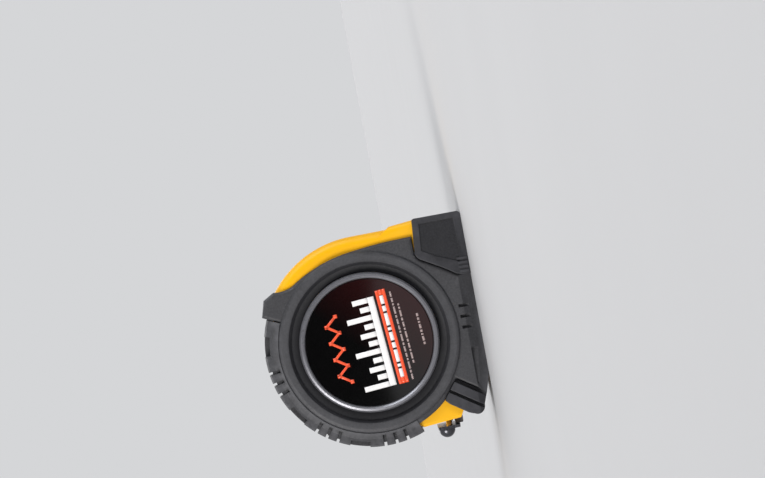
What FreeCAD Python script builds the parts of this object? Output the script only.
"""A 25 ft pocket tape measure with a rubber-armoured case.

Frame: the blade leaves towards -X, the rear is +X, +Z is up and the base plane is z = 0. The reel
turns about Y. The left side (-Y) carries the label, and the right side (+Y) also carries the belt clip.
Pieces of one side are drawn for the right side and mirrored for the left. Sizes are in millimetres.
"""

import FreeCAD, Part
import math
import os

Vector = FreeCAD.Vector
Y_AXIS = Vector(0, 1, 0)
X_AXIS = Vector(1, 0, 0)

# Driving sizes
REEL_Z = 44.8              # height of the reel axis above the base
CASE_SIDE = 17.0           # from the middle plane to the outside of a case wall
WALL = 2.6                 # thickness of a case side wall
RUBBER_SIDE = 20.4         # from the middle plane to the outside of the rubber
SLAB_SIDE = 19.3           # the same, outside the proud side ring
BLADE_WIDTH = 25.0
BLADE_THICKNESS = 0.15
BLADE_CUP = 2.4            # rise of the blade's edges above its middle
SEAM = 0.3                 # width and depth of the parting line
KEEL_HALF = 8.0            # half width of the strip of case that shows between the rubber of each side

# Screws and the centre post
CASE_SCREWS = ((27.5, 68.0), (33.5, 28.2), (-7.0, 10.4), (17.0, 11.0))
SCREW_R = 1.2
SCREW_HEAD_R = 2.2
SCREW_SEAT_Y = 14.6        # where a screw's head rests in the right half
BOSS_R = 3.4
POST_R = 4.0
POST_PIN_R = 2.0
POST_END_Y = 16.8

# Radii about the reel axis
LABEL_R = 25.5
BEZEL_R = 28.0
DISH_R = 32.0              # outer edge of the sunken band round the bezel
RING_R = 36.4              # outer edge of the side ring, where the treads begin
TREAD_R = 42.2
UNDER_TREAD_R = 39.4
REAR_R = 42.8
COIL_R = 24.0
DRUM_R = 15.0
DRUM_WALL = 1.6
FLANGE_R = 25.6
RUNNING_FIT = 0.05

# Blade line
EDGE_Z = 20.3              # height of the blade's edges where it leaves the reel
HOOK_X = -39.3             # back face of the hook's plate
HOOK_PLAY = 1.1            # how far the hook slides on its rivets
RIVET_R = 0.85

# Thumb lock, about the reel axis: it sits unlocked and turns towards the mouth to lock
LOCK_MIDDLE = 152.0
LOCK_TURN = 8.0
LOCK_LEVER_END = 190.0

# Belt clip, a bent strip of spring steel on the right side
CLIP_THICK = 1.0
CLIP_HALF_WIDTH = 11.0
CLIP_ROOT_Y = 22.4
CLIP_BEND_Z = 70.0
CLIP_BEND_R = 3.0          # inside radius of the bend at the top
CLIP_SCREW_Z = 60.0
CLIP_SCREW_R = 1.5
CLIP_FLEX = 8.0            # degrees that the arm springs open

# Worked out from the sizes above
INSIDE = CASE_SIDE - WALL
BLADE_LOW = EDGE_Z - BLADE_CUP
BLADE_END_X = 37.6
TONGUE_LOW = BLADE_LOW + BLADE_THICKNESS + 0.3
RIVET_PLACES = tuple((HOOK_X + along, across) for along in (2.6, 5.8) for across in (-1.9, 1.9))
CLIP_BEND_Y = CLIP_ROOT_Y + CLIP_THICK + CLIP_BEND_R
ARM_Y = CLIP_BEND_Y + CLIP_BEND_R

# The treads run from the front of the case to its top
TREAD_START = 201.0
TREAD_END = 67.6
GROOVE_GROUPS = (185.0, 145.5, 104.0)
GROOVE_STEP = 6.4
GROOVE_WIDTH = 1.2
WINDOWS = (164.5, 125.5, 82.5)
WINDOW_SPAN = 11.0
WINDOW_R = 39.9            # bottom of the windows

# Grooves and notches near the base leave this much rubber over the case
RUBBER_FLOOR = CASE_SIDE + 0.6
BASE_NOTCHES = (-0.9, 3.4, 7.7)
FOOT_GROOVES = ((-28.9, 2.6), (-33.3, 4.6))
FOOT_GROOVE_TILT = 34.0


def at(radius, degrees):
    """A point in the XZ plane, given about the reel axis from +X towards +Z."""
    angle = math.radians(degrees)
    return (radius * math.cos(angle), REEL_Z + radius * math.sin(angle))


def outline(start, *steps):
    """A closed XZ wire. A step is the next corner, or a pair: a point on an arc and the arc's end."""
    edges = []
    here = Vector(start[0], 0, start[1])
    for step in steps + (start,):
        if isinstance(step[0], tuple):
            middle = Vector(step[0][0], 0, step[0][1])
            there = Vector(step[1][0], 0, step[1][1])
            edges.append(Part.Arc(here, middle, there).toShape())
        else:
            there = Vector(step[0], 0, step[1])
            if there.distanceToPoint(here) > 1e-6:
                edges.append(Part.LineSegment(here, there).toShape())
        here = there
    return Part.Wire(edges)


def prism(wire, y_low, y_high):
    """The solid between two Y planes over an XZ outline."""
    solid = Part.Face(wire).extrude(Vector(0, y_high - y_low, 0))
    solid.translate(Vector(0, y_low, 0))
    return solid


def box(x_low, x_high, y_low, y_high, z_low, z_high):
    return Part.makeBox(
        x_high - x_low, y_high - y_low, z_high - z_low, Vector(x_low, y_low, z_low)
    )


def disc(radius, y_low, y_high, x=0.0, z=REEL_Z):
    return Part.makeCylinder(radius, y_high - y_low, Vector(x, y_low, z), Y_AXIS)


def ring(inner, outer, y_low, y_high):
    return disc(outer, y_low, y_high).cut(disc(inner, y_low - 1, y_high + 1))


def turned(points):
    """A solid of revolution about the reel axis, from corners given as (radius, y)."""
    corners = [Vector(r, y, REEL_Z) for r, y in points]
    face = Part.Face(Part.makePolygon(corners + corners[:1]))
    return face.revolve(Vector(0, 0, REEL_Z), Y_AXIS, 360)


def mirrored(shape):
    return shape.mirror(Vector(0, 0, 0), Y_AXIS)


def joined(shapes):
    first, *others = shapes
    return first.multiFuse(others).removeSplitter()


def largest(shape):
    return max(shape.Solids, key=lambda solid: solid.Volume)


def softened(shape, size, wanted):
    """The shape with the wanted edges rounded, or bevelled where they can't be rounded."""
    edges = [edge for edge in shape.Edges if wanted(edge)]
    for cut in (shape.makeFillet, shape.makeChamfer):
        try:
            result = cut(size, edges)
        except Part.OCCError:
            continue
        if result.isValid() and result.Volume > 0:
            return result
    return shape


def lies_at_y(edge, y):
    bounds = edge.BoundBox
    return abs(bounds.YMin - y) < 1e-3 and abs(bounds.YMax - y) < 1e-3


def on_side(edge, y):
    """True for an edge that lies in either side plane."""
    return lies_at_y(edge, y) or lies_at_y(edge, -y)


def sector(low, high, start, end):
    """An outline between two radii and two angles about the reel axis."""
    middle = (start + end) / 2
    return outline(
        at(low, start), (at(low, middle), at(low, end)), at(high, end), (at(high, middle), at(high, start))
    )


# Outlines

NOSE_TOP = (-37.6, 29.3)
NOSE_FOOT = (-36.3, 14.2)
REAR_STEP = (42.9, 30.4)


def case_outline():
    return outline(
        NOSE_TOP,
        at(UNDER_TREAD_R, TREAD_START),
        (at(UNDER_TREAD_R, 134), at(UNDER_TREAD_R, TREAD_END)),
        at(REAR_R, 53.5),
        (at(REAR_R, 27), at(REAR_R, 0)),
        REAR_STEP,
        (43.9, 28.9),
        (44.8, 19.4),
        (42.4, 19.4),
        (42.4, 5.0),
        (40.2, 2.8),
        (-24.0, 2.8),
        (-32.4, 8.6),
        (-33.4, 12.6),
        NOSE_FOOT,
    )


def jacket_outline():
    """The side armour: its ring, the block at the rear top corner, the rear edge and the base strip."""
    return outline(
        at(RING_R, TREAD_START),
        (at(RING_R, 134), at(RING_R, TREAD_END)),
        at(44.0, TREAD_END - 0.6),
        (23.8, 83.5),
        (26.2, 79.3),
        ((26.2, 75.4), (27.3, 71.4)),
        ((33.4, 59.6), (36.7, 46.5)),
        ((38.0, 33.6), (38.4, 20.8)),
        (31.6, 20.8),
        ((29.6, 19.9), (28.3, 18.2)),
        (23.9, 10.5),
        (20.6, 5.6),
        (19.8, 2.6),
        (20.0, 0.0),
        (-21.0, 0.0),
        (-28.3, 2.3),
        (-20.8, 13.5),
        (at(37.4, 230), at(38.2, 222)),
        (at(38.2, 212), at(38.2, TREAD_START)),
    )


def boot_outline():
    """The boot, a little larger than its gap in the side armour, which trims it."""
    return outline(
        (31.4, 21.3),
        (31.8, 20.6),
        (44.4, 19.6),
        ((45.1, 19.0), (45.2, 18.0)),
        (45.2, 1.8),
        ((44.7, 0.5), (43.4, 0.0)),
        (19.5, 0.0),
        (19.3, 2.8),
        (20.1, 5.9),
        (23.3, 10.8),
        (27.6, 18.4),
        ((29.0, 20.4), (30.6, 21.2)),
    )


def foot_outline():
    """The toe, a little larger than the room that the side armour leaves it, which trims it."""
    return outline(
        (-20.2, 13.9),
        (-27.7, 2.1),
        (-32.6, 4.0),
        ((-35.4, 5.2), (-36.0, 7.6)),
        (-34.8, 10.8),
        (-30.2, 17.6),
        (-28.6, 19.2),
        (at(37.2, 228), at(37.0, 235)),
    )


def blade_section(lift, thickness):
    """The blade's cupped section in the plane x = 0, raised by lift, as a closed wire."""
    half = BLADE_WIDTH / 2
    low = EDGE_Z - BLADE_CUP
    edges = []
    for height in (lift, lift + thickness):
        ends = [Vector(0, y, EDGE_Z + height) for y in (-half, half)]
        edges.append(Part.Arc(ends[0], Vector(0, 0, low + height), ends[1]).toShape())
    for y in (-half, half):
        low_end = Vector(0, y, EDGE_Z + lift)
        edges.append(Part.LineSegment(low_end, low_end + Vector(0, 0, thickness)).toShape())
    return Part.Wire(Part.__sortEdges__(edges))


# Case

def cavity_outline():
    """The inside of the case, a wall's thickness within its outline."""
    return outline(
        (-34.8, 29.6),
        at(UNDER_TREAD_R - WALL, TREAD_START),
        (at(UNDER_TREAD_R - WALL, 134), at(UNDER_TREAD_R - WALL, TREAD_END)),
        at(REAR_R - WALL, 54),
        (at(REAR_R - WALL, 27), at(REAR_R - WALL, 0)),
        (39.8, 6.6),
        (38.0, 5.4),
        (-23.0, 5.4),
        (-29.6, 9.8),
        (-34.0, 15.4),
    )


def cavity():
    """The room for the reel and the blade, less the screw bosses, with the mouth and the lock's slot."""
    room = prism(cavity_outline(), -INSIDE, INSIDE)
    for x, z in CASE_SCREWS:
        room = room.cut(disc(BOSS_R, -INSIDE, INSIDE, x, z))
    mouth = box(-40, -33, -13.2, 13.2, 17.2, 21.6)
    slot_start = LOCK_MIDDLE + LOCK_TURN + 3.5
    slot_end = LOCK_MIDDLE - 3.5
    lock_slot = prism(sector(UNDER_TREAD_R - WALL - 1, UNDER_TREAD_R + 2, slot_start, slot_end), -3.4, 3.4)
    return joined([room, mouth, lock_slot])


def case_block():
    """The case before it is hollowed, with its rear edges rounded and the keel under its middle."""
    block = prism(case_outline(), -CASE_SIDE, CASE_SIDE)
    block = softened(block, 3.4, lambda edge: on_side(edge, CASE_SIDE) and edge.BoundBox.ZMin > 30
                     and edge.BoundBox.XMin > 25)
    block = softened(block, 2.0, lambda edge: on_side(edge, CASE_SIDE) and edge.BoundBox.ZMax < 29
                     and edge.BoundBox.XMin > 43)
    block = softened(block, 1.2, lambda edge: on_side(edge, CASE_SIDE) and edge.BoundBox.XMax < -36.2
                     and edge.BoundBox.ZMax < 29.5)
    keel = box(-21, 20.4, -KEEL_HALF, KEEL_HALF, 0, 4)
    return block.fuse(keel).removeSplitter()


def seam_groove():
    """The fine parting line round the outside, where the two halves meet."""
    band = prism(case_outline(), -SEAM / 2, SEAM / 2)
    core = prism(case_outline(), -1, 1)
    core.scale(1 - SEAM / REAR_R, Vector(0, 0, REEL_Z))
    return band.cut(core)


def case_solid():
    bumper_seat = box(-40, -35.4, -7.05, 7.05, 13.35, 16.75)
    return case_block().cut(cavity()).cut(bumper_seat).cut(seam_groove())


def case_halves(whole):
    """The two shells, which meet at the middle plane, with holes for the screws and the centre post."""
    half = box(-60, 60, 0, 30, -5, 100)
    right = whole.common(half)
    left = whole.common(mirrored(half))
    for x, z in CASE_SCREWS:
        right = right.cut(disc(SCREW_R, -1.0, SCREW_SEAT_Y, x, z))
        right = right.cut(disc(SCREW_HEAD_R + 0.1, SCREW_SEAT_Y, 30.0, x, z))
        left = left.cut(disc(SCREW_R, -8.0, 1.0, x, z))
    right = right.cut(disc(POST_R, 0, POST_END_Y)).cut(disc(CLIP_SCREW_R, 12.0, 30.0, 0, CLIP_SCREW_Z))
    left = left.cut(disc(POST_PIN_R, -16.2, -10))
    return largest(left), largest(right)


def cross_slots(x, z, y_low, y_high, reach):
    """The two bars that cut a cross into a screw head."""
    wide = box(x - reach, x + reach, y_low, y_high, z - 0.25, z + 0.25)
    tall = box(x - 0.25, x + 0.25, y_low, y_high, z - reach, z + reach)
    return wide.fuse(tall)


def case_screws():
    """Screws driven from the right side into the left half."""
    made = []
    for x, z in CASE_SCREWS:
        shank = disc(SCREW_R, -7.5, SCREW_SEAT_Y, x, z)
        head = disc(SCREW_HEAD_R, SCREW_SEAT_Y, 16.4, x, z)
        made.append(shank.fuse(head).cut(cross_slots(x, z, 15.7, 17, 1.5)).removeSplitter())
    return Part.makeCompound(made)


# Rubber armour, right side

def jacket(case):
    """The side armour: a proud ring round a dish, on a slab that is bevelled along the base."""
    slab = prism(jacket_outline(), KEEL_HALF, SLAB_SIDE)
    slab = softened(slab, 1.4, lambda edge: lies_at_y(edge, SLAB_SIDE) and edge.Length > 2.0)
    crown = turned([
        (0, CASE_SIDE), (0, RUBBER_SIDE), (34.7, RUBBER_SIDE),
        (35.8, 20.1), (RING_R, SLAB_SIDE), (RING_R, CASE_SIDE)
    ])
    slab = slab.fuse(crown)
    bore = BEZEL_R + RUNNING_FIT
    rim = DISH_R + 0.5
    dish = turned([
        (0, 0), (bore, 0), (bore, 17.9), (31.0, 18.3), (DISH_R, 19.9), (rim, 21.0), (rim, 30), (0, 30)
    ])
    shape = slab.cut(dish).cut(base_bevel()).cut(base_scoop())
    for x in BASE_NOTCHES:
        shape = shape.cut(box(x - 0.6, x + 0.6, RUBBER_FLOOR, 30, 3.0, 7.2))
    return largest(shape.cut(case).cut(box(-60, 60, -1, CASE_SIDE, 3.0, 60)))


def base_bevel():
    """The wedge taken off the right side along the base."""
    corners = [Vector(-40, 15.4, -0.5), Vector(-40, 24, -0.5), Vector(-40, 24, 12.4)]
    return Part.Face(Part.makePolygon(corners + corners[:1])).extrude(Vector(80, 0, 0))


def base_scoop():
    """The long recess in the base bevel: deep at its rear step, running out towards the front."""
    deep = CASE_SIDE + 0.35
    corners = [Vector(x, y, 1.7) for x, y in ((-9.6, deep), (-9.6, 30), (-24.0, 30), (-24.0, 18.6))]
    return Part.Face(Part.makePolygon(corners + corners[:1])).extrude(Vector(0, 0, 3.6))


def tread_band(case):
    """The bumper round the front and top, bevelled towards the side, with grooves and windows."""
    blank = turned([
        (RING_R, CASE_SIDE), (RING_R, 19.7), (38.8, 19.3), (41.4, 16.9), (TREAD_R, 15.2),
        (TREAD_R, 8.6), (TREAD_R - 0.4, 8.2), (UNDER_TREAD_R, 8.2), (UNDER_TREAD_R, CASE_SIDE)
    ])
    floor = turned([(30, -2), (30, 18.4), (38.8, 18.0), (40.6, 16.0), (40.6, -2)])
    band = blank.common(prism(sector(RING_R - 1, TREAD_R + 1, TREAD_START, TREAD_END), 0, 30))
    for middle in GROOVE_GROUPS:
        for step in (-1, 0, 1):
            groove = Part.makeBox(8, 30, GROOVE_WIDTH, Vector(37.4, 0, -GROOVE_WIDTH / 2))
            groove.rotate(Vector(0, 0, 0), Y_AXIS, -middle - step * GROOVE_STEP)
            groove.translate(Vector(0, 0, REEL_Z))
            band = band.cut(groove.cut(floor))
    for middle in WINDOWS:
        start = middle + WINDOW_SPAN / 2
        end = middle - WINDOW_SPAN / 2
        window = prism(sector(WINDOW_R, 45, start, end), 10.5, 30)
        band = band.cut(window)
    return largest(band.cut(case))


def bezel_ring():
    return turned([
        (LABEL_R + 0.1, CASE_SIDE), (LABEL_R + 0.1, 21.2), (25.9, 21.8), (26.5, 22.2), (27.3, 22.0),
        (27.8, 21.3), (BEZEL_R, 20.4), (BEZEL_R, CASE_SIDE)
    ])


def label_disc():
    back = CASE_SIDE + 1.6
    return turned([(0, back), (0, 21.4), (LABEL_R - 0.3, 21.0), (LABEL_R, 20.8), (LABEL_R, back)])


# Rubber pieces that go round both sides

def trimmed_by_jackets(shape):
    """The shape without what would lie in the side armour's outline."""
    side = prism(jacket_outline(), KEEL_HALF, RUBBER_SIDE + 3)
    return largest(shape.cut(side).cut(mirrored(side)))


def heel_boot(case):
    """The boot round the rear of the base, with a shallow panel and short ribs on each side."""
    side = RUBBER_SIDE + 0.6
    block = trimmed_by_jackets(prism(boot_outline(), -side, side).cut(case))
    block = softened(block, 1.2, lambda edge: on_side(edge, side))
    edge = outline((32.0, 17.9), (42.8, 17.0), (42.8, 3.2), (25.2, 3.2), (29.0, 12.6))
    panel = prism(edge, side - 0.35, side + 1)
    shape = block.cut(panel).cut(mirrored(panel))
    for step in range(4):
        rib = box(20.8 + 1.7 * step, 21.7 + 1.7 * step, side - 1.2, side + 0.4, 0.5, 4.0 + 0.2 * step)
        shape = shape.fuse(rib).fuse(mirrored(rib))
    return largest(shape)


def front_foot(case):
    """The toe round the front of the base, with two slanting grooves down each side."""
    side = SLAB_SIDE + 0.4
    block = trimmed_by_jackets(prism(foot_outline(), -side, side).cut(case))
    block = softened(block, 1.0, lambda edge: on_side(edge, side) and edge.Length > 2.5)
    shape = block.cut(base_bevel()).cut(mirrored(base_bevel()))
    middle = box(-60, 0, -RUBBER_FLOOR, RUBBER_FLOOR, 0, 30)
    for x, z in FOOT_GROOVES:
        groove = Part.makeBox(GROOVE_WIDTH, 60, 20, Vector(-GROOVE_WIDTH / 2, -30, -2))
        groove.rotate(Vector(0, 0, 0), Y_AXIS, FOOT_GROOVE_TILT)
        groove.translate(Vector(x, 0, z))
        shape = shape.cut(groove.cut(middle))
    return largest(shape)


# Reel

def reel_drum():
    """A cup: a rim that carries the blade, and a web on the left that turns on the centre post."""
    rim = ring(DRUM_R - DRUM_WALL, DRUM_R, -12.6, 12.6)
    web = ring(POST_R + RUNNING_FIT, DRUM_R - DRUM_WALL / 2, -12.6, -11.2)
    return joined([rim, web])


def reel_flange(side):
    """A thin disc beside the coil, with openings that save weight."""
    y_low = 12.6 if side > 0 else -13.6
    shape = ring(POST_R + RUNNING_FIT if side < 0 else DRUM_R - DRUM_WALL, FLANGE_R, y_low, y_low + 1.0)
    for step in range(6):
        x, z = at(20.2, 60 * step + 30)
        shape = shape.cut(disc(3.4, y_low - 1, y_low + 2, x, z))
    return shape


def blade_coil():
    """The wound part of the blade."""
    return ring(DRUM_R, COIL_R, -BLADE_WIDTH / 2, BLADE_WIDTH / 2)


def mainspring():
    """A flat spiral from the centre post out to the drum, drawn as half circles that grow."""
    turns = 7
    strip = 0.3
    start = POST_R + 0.02
    pitch = (DRUM_R - DRUM_WALL - 0.05 - strip - start) / turns

    def spiral(first_radius):
        edges = []
        radius = first_radius
        reach = first_radius
        side = 1
        for _ in range(2 * turns):
            radius += pitch / 4
            tip = Vector(side * reach, 0, REEL_Z)
            middle = side * (reach - radius)
            far = Vector(middle - side * radius, 0, REEL_Z)
            edges.append(Part.Arc(tip, Vector(middle, 0, REEL_Z + side * radius), far).toShape())
            reach = 2 * radius - reach
            radius += pitch / 4
            side = -side
        return edges

    inner = spiral(start)
    outer = spiral(start + strip)
    ends = []
    for turn, corner in ((0, 0), (-1, -1)):
        inside = inner[turn].Vertexes[corner].Point
        outside = outer[turn].Vertexes[corner].Point
        ends.append(Part.LineSegment(inside, outside).toShape())
    wire = Part.Wire(Part.__sortEdges__([*inner, *outer, *ends]))
    return prism(wire, -10.8, 11.8)


def centre_post():
    """The fixed post: a split shaft from the right wall, with a pin that enters the left wall."""
    shaft = disc(POST_R, -14.0, POST_END_Y)
    pin = disc(POST_PIN_R, -16.2, -14.0)
    split = box(-0.4, 0.4, -10.8, 11.8, REEL_Z - 5, REEL_Z + 0.4)
    return shaft.fuse(pin).cut(split).removeSplitter()


# Blade and hook

def blade_run():
    """The stretch of blade from the hook, through the mouth and under the reel."""
    front = HOOK_X + 0.05
    strip = Part.Face(blade_section(0, BLADE_THICKNESS)).extrude(Vector(BLADE_END_X - front, 0, 0))
    strip.translate(Vector(front, 0, 0))
    for x, y in RIVET_PLACES:
        strip = strip.cut(Part.makeCylinder(RIVET_R, 4, Vector(x, y, BLADE_LOW - 1)))
    return strip


def end_hook():
    """A plate across the blade's end, with a domed front and a tongue that lies on the blade."""
    plate = box(HOOK_X - 1.2, HOOK_X, -11.0, 11.0, 14.9, 24.0)
    plate = softened(plate, 2.4, lambda edge: abs(edge.Length - 1.2) < 1e-3)
    button = Part.makeCylinder(3.3, 1.6, Vector(HOOK_X - 2.0, 0, 20.4), X_AXIS)
    dome = Part.makeSphere(3.3, Vector(HOOK_X - 2.0, 0, 20.4)).common(box(-60, HOOK_X - 1.2, -9, 9, 0, 40))
    tongue = box(HOOK_X - 0.6, HOOK_X + 8.7, -3.6, 3.6, TONGUE_LOW, TONGUE_LOW + 0.7)
    tongue = softened(tongue, 1.6, lambda edge: abs(edge.Length - 0.7) < 1e-3 and edge.BoundBox.XMin > HOOK_X)
    shape = joined([plate, button, dome, tongue])
    for x, y in RIVET_PLACES:
        low = TONGUE_LOW - 1
        reach = RIVET_R + RUNNING_FIT
        bar = box(x, x + HOOK_PLAY, y - reach, y + reach, low, low + 3)
        ends = [Part.makeCylinder(reach, 3, Vector(x + shift, y, low)) for shift in (0, HOOK_PLAY)]
        shape = shape.cut(bar.multiFuse(ends))
    return largest(shape)


def hook_rivets():
    """Four rivets, fast in the blade, with the hook's slots round them."""
    made = []
    for x, y in RIVET_PLACES:
        shank = Part.makeCylinder(RIVET_R, 1.75, Vector(x, y, BLADE_LOW - 0.35))
        top = Part.makeCylinder(1.45, 0.45, Vector(x, y, TONGUE_LOW + 0.8))
        bottom = Part.makeCylinder(1.45, 0.35, Vector(x, y, BLADE_LOW - 0.4))
        bottom = bottom.cut(cupped_block(x - 2, x + 2, 1.0))
        made.append(joined([shank, top, bottom]))
    return Part.makeCompound(made)


def cupped_block(x_low, x_high, height):
    """A block whose underside follows the blade's underside."""
    block = Part.Face(blade_section(0, height)).extrude(Vector(x_high - x_low, 0, 0))
    block.translate(Vector(x_low, 0, 0))
    return block


def mouth_bumper():
    """The soft pad under the mouth that takes the hook's knock."""
    pad = box(-39.0, -35.4, -7.0, 7.0, 13.4, 16.7)
    return softened(pad, 0.6, lambda edge: edge.BoundBox.XMax < -38.9)


def blade_guide_pin():
    return disc(1.3, -INSIDE, INSIDE, -32.4, 24.3)


def lower_blade_guide():
    """The support under the blade behind the mouth, with a cupped top."""
    side = outline((-31.4, 22.0), (-31.4, 12.8), (-29.2, 10.2), (-22.6, 5.6), (-20.4, 5.6), (-20.4, 22.0))
    block = prism(side, -12.4, 12.4)
    gap = Part.Face(blade_section(-0.25, 12)).extrude(Vector(40, 0, 0))
    gap.translate(Vector(-45, 0, 0))
    return largest(block.cut(gap))


# Thumb lock

def thumb_lock_button():
    """The ribbed button in the channel on top, its stem and the lever that it moves inside."""
    start = LOCK_MIDDLE + 6.5
    end = LOCK_MIDDLE - 6.5
    cap = prism(sector(UNDER_TREAD_R + 0.3, TREAD_R - 0.4, start, end), -6.4, 6.4)
    cap = softened(cap, 0.8, lambda edge: on_side(edge, 6.4))
    for step in range(-2, 3):
        angle = LOCK_MIDDLE + 2.2 * step
        x, z = at(TREAD_R - 0.2, angle)
        cap = cap.cut(disc(0.45, -7, 7, x, z))
    stem = prism(sector(34.0, UNDER_TREAD_R + 0.6, LOCK_MIDDLE + 2.4, LOCK_MIDDLE - 2.4), -2.9, 2.9)
    lever = prism(sector(33.4, 36.0, LOCK_LEVER_END, LOCK_MIDDLE - 6), -4.2, 4.2)
    return joined([cap, stem, lever])


def brake_shoe():
    """The block that the lever presses onto the blade, with a rounded foot."""
    block = box(-29.2, -24.6, -4.8, 4.8, 20.4, 32.6)
    block = softened(block, 1.5, lambda edge: edge.BoundBox.ZMax < 20.5 and edge.BoundBox.YLength > 9)
    head = box(-33.6, -24.6, -3.0, 3.0, 30.2, 32.6)
    return joined([block, head])


def lock_detent_spring():
    """A leaf curled round its pin, which holds the lock at either end of its travel."""
    leaf = prism(sector(31.4, 31.8, 172.5, 141.0), -3.0, 3.0)
    bump = prism(sector(31.4, 32.9, 151.5, 148.5), -3.0, 3.0)
    x, z = at(31.0, 174.0)
    eye = disc(1.7, -3.0, 3.0, x, z)
    return joined([leaf, bump, eye]).cut(disc(1.2, -4, 4, x, z))


def detent_pin():
    x, z = at(31.0, 174.0)
    return disc(1.2, -INSIDE, INSIDE, x, z)


# Belt clip

def belt_clip_root():
    """The plate on the case and the near half of the bend."""
    plate = box(-CLIP_HALF_WIDTH, CLIP_HALF_WIDTH, CLIP_ROOT_Y, CLIP_ROOT_Y + CLIP_THICK, 49.0, CLIP_BEND_Z)
    plate = softened(plate, 2.5, lambda edge: edge.BoundBox.ZMax < 49.1 and edge.BoundBox.YLength > 0.9)
    bend = clip_bend().common(box(-20, 20, 0, CLIP_BEND_Y, CLIP_BEND_Z, 90))
    boss = disc(4.5, 21.45, CLIP_ROOT_Y, 0, CLIP_SCREW_Z)
    hole = disc(CLIP_SCREW_R, 10, 30, 0, CLIP_SCREW_Z).fuse(disc(3.0, 22.5, 30, 0, CLIP_SCREW_Z))
    return joined([plate, bend, boss]).cut(hole)


def clip_bend():
    centre = Vector(-CLIP_HALF_WIDTH, CLIP_BEND_Y, CLIP_BEND_Z)
    width = 2 * CLIP_HALF_WIDTH
    outer = Part.makeCylinder(CLIP_BEND_R + CLIP_THICK, width, centre, X_AXIS)
    inner = Part.makeCylinder(CLIP_BEND_R, width, centre, X_AXIS)
    return outer.cut(inner)


def belt_clip_arm():
    """The springy arm with its half of the bend, which stops short of the root by the arm's travel."""
    inner = ((0.0, CLIP_BEND_Z), (-2.6, 36.0), (-4.1, 30.5), (-3.4, 27.0), (-0.6, 21.5))
    outer = ((0.4, 21.0), (-2.3, 27.3), (-3.0, 30.4), (-1.6, 35.8), (CLIP_THICK, CLIP_BEND_Z))
    points = [Vector(-CLIP_HALF_WIDTH, ARM_Y + lean, z) for lean, z in inner + outer]
    arm = Part.Face(Part.makePolygon(points + points[:1])).extrude(Vector(2 * CLIP_HALF_WIDTH, 0, 0))
    taper = [Vector(x, 20, z) for x, z in ((-30, 60), (-11, 60), (-7.5, 24), (-5, 15), (-30, 15))]
    side_cut = Part.Face(Part.makePolygon(taper + taper[:1])).extrude(Vector(0, 20, 0))
    arm = arm.cut(side_cut).cut(side_cut.mirror(Vector(0, 0, 0), X_AXIS))
    room = Part.makeBox(60, 60, 60, Vector(-30, 0, 0))
    room.rotate(Vector(0, 0, 0), X_AXIS, -CLIP_FLEX - 1)
    room.translate(Vector(0, CLIP_BEND_Y, CLIP_BEND_Z))
    bend = clip_bend().common(room).common(box(-20, 20, CLIP_BEND_Y, 60, CLIP_BEND_Z, 90))
    return joined([arm, bend])


def belt_clip_screw():
    head = disc(2.95, 22.5, CLIP_ROOT_Y + CLIP_THICK, 0, CLIP_SCREW_Z)
    shank = disc(CLIP_SCREW_R, INSIDE + 0.1, 22.5, 0, CLIP_SCREW_Z)
    return head.fuse(shank).cut(cross_slots(0, CLIP_SCREW_Z, 22.9, 24, 2.0)).removeSplitter()


def with_screw_holes(side_jacket):
    """The right jacket, with a well over each case screw."""
    for x, z in CASE_SCREWS:
        side_jacket = side_jacket.cut(disc(SCREW_HEAD_R + 0.5, 0, 30, x, z))
    return side_jacket


def both_sides(name, shape):
    return {f"right_{name}": shape, f"left_{name}": mirrored(shape)}


def build():
    block = case_block()
    left, right = case_halves(case_solid())
    side_jacket = jacket(block)
    right_label = label_disc().cut(disc(CLIP_SCREW_R, 10, 30, 0, CLIP_SCREW_Z))
    return {
        "left_case_half": left,
        "right_case_half": right,
        "case_screws": case_screws(),
        "left_rubber_jacket": mirrored(side_jacket),
        "right_rubber_jacket": with_screw_holes(side_jacket),
        **both_sides("tread_bumper", tread_band(block)),
        "heel_boot": heel_boot(block),
        "front_foot": front_foot(block),
        **both_sides("bezel_ring", bezel_ring()),
        "left_label_disc": mirrored(label_disc()),
        "right_label_disc": right_label,
        "reel_drum": reel_drum(),
        "left_reel_flange": reel_flange(-1),
        "right_reel_flange": reel_flange(1),
        "blade_coil": blade_coil(),
        "mainspring": mainspring(),
        "centre_post": centre_post(),
        "blade_run": blade_run(),
        "end_hook": end_hook(),
        "hook_rivets": hook_rivets(),
        "mouth_bumper": mouth_bumper(),
        "blade_guide_pin": blade_guide_pin(),
        "lower_blade_guide": lower_blade_guide(),
        "thumb_lock_button": thumb_lock_button(),
        "brake_shoe": brake_shoe(),
        "lock_detent_spring": lock_detent_spring(),
        "detent_pin": detent_pin(),
        "belt_clip_root": belt_clip_root(),
        "belt_clip_arm": belt_clip_arm(),
        "belt_clip_screw": belt_clip_screw(),
    }


os.makedirs("parts", exist_ok=True)
for name, shape in build().items():
    print(name, shape.isValid(), len(shape.Solids), round(shape.Volume))
    shape.exportStep(f"parts/{name}.step")
